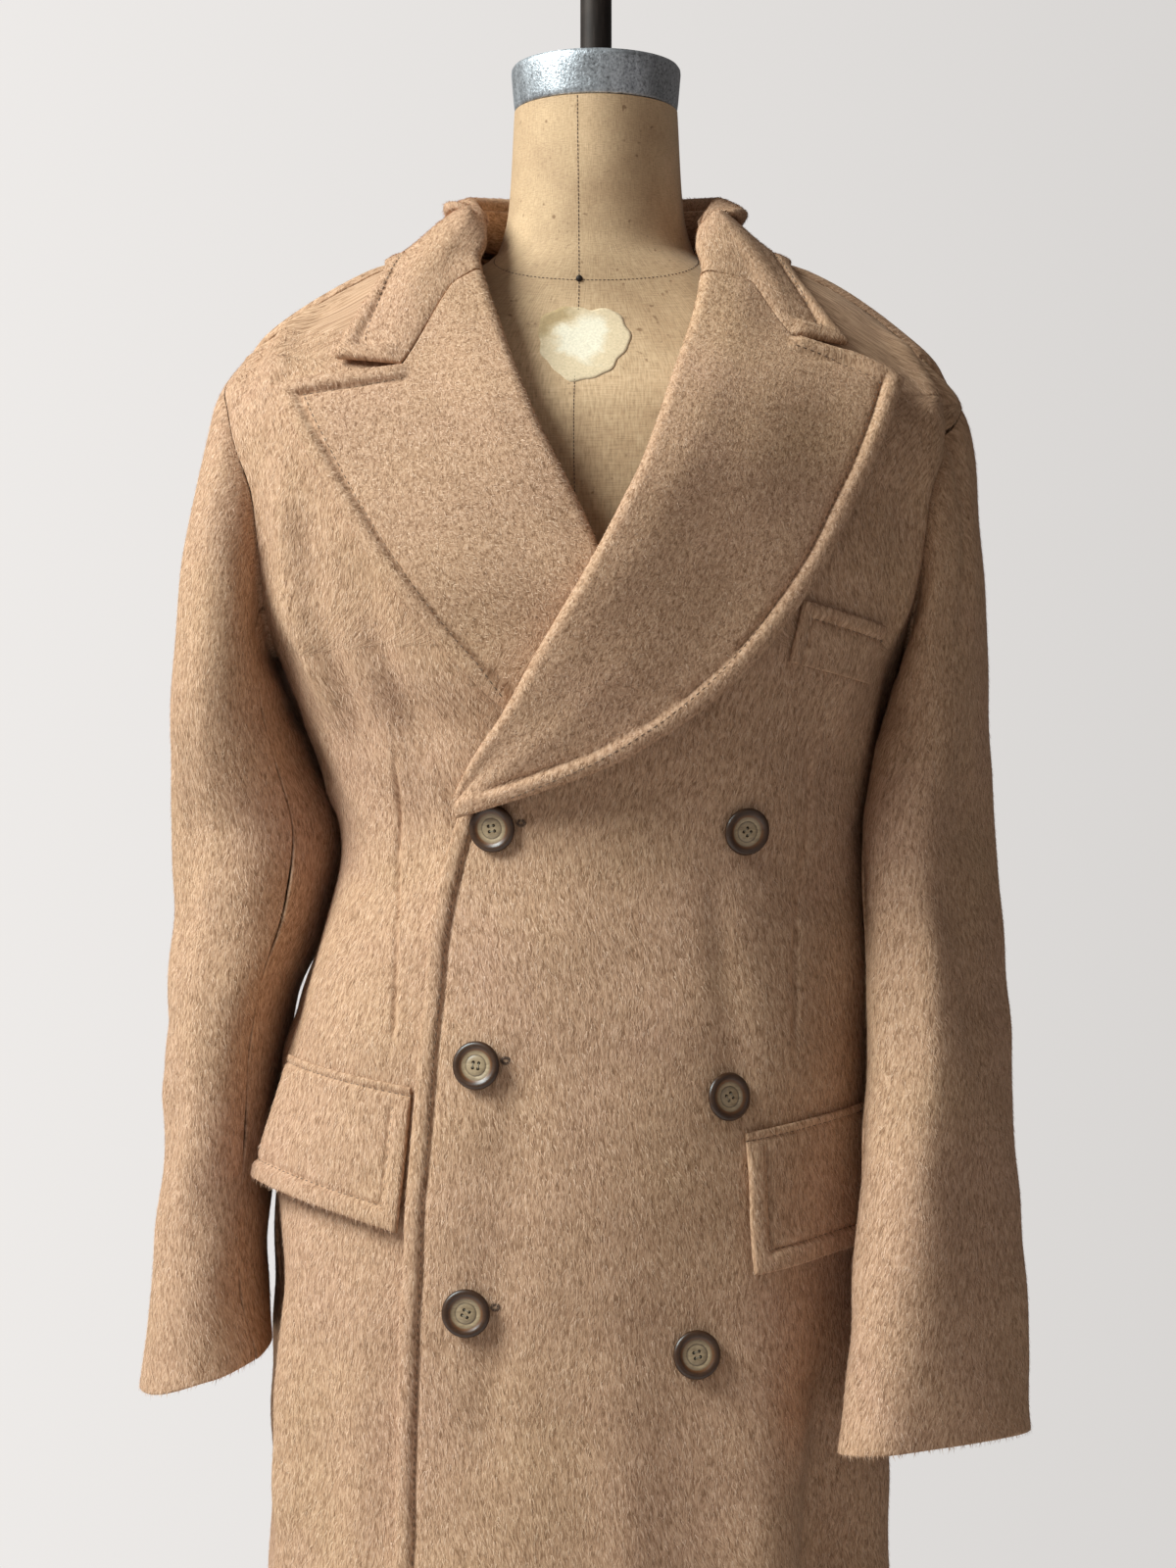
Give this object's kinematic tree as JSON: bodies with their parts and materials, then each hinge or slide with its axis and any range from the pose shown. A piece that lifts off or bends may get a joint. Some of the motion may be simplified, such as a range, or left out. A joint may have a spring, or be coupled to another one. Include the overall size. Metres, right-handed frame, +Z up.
{
  "type": "overcoat on a dress form",
  "caption": "Long double-breasted camel overcoat with peaked lapels, hip flaps and horn buttons, buttoned on a limbless linen dress form with a metal neck cap and a round stand.",
  "frame": {"origin": "on the floor, under the middle of the stand's round base", "axes": "+Z up, -Y towards the front of the coat, +X to the right as seen from the front"},
  "size_m": [0.5373, 0.44, 1.64],
  "materials": {
    "camel_cloth": "brushed camel hair and wool overcoating with a soft nap",
    "horn": "polished dark horn with a paler dished middle",
    "linen": "tan linen stretched over a firm form, worn in places",
    "cast_metal": "dull cast metal with a pitted skin",
    "dark_steel": "dark brown-black steel, worn brighter along the pole"
  },
  "bodies": {
    "root": {"back": "camel_cloth", "front_over": "camel_cloth", "front_under": "camel_cloth", "lapel_over": "camel_cloth", "lapel_under": "camel_cloth", "collar_fall": "camel_cloth", "collar_stand": "camel_cloth", "sleeve_left_top": "camel_cloth", "sleeve_left_under": "camel_cloth", "sleeve_right_top": "camel_cloth", "sleeve_right_under": "camel_cloth", "flap_over": "camel_cloth", "flap_under": "camel_cloth", "breast_welt": "camel_cloth", "button_1": "horn", "button_2": "horn", "button_3": "horn", "button_4": "horn", "button_5": "horn", "button_6": "horn", "form_torso": "linen", "neck_cap": "cast_metal", "top_pole": "dark_steel", "stand_pole": "dark_steel", "stand_base": "dark_steel"}
  },
  "joints": []
}
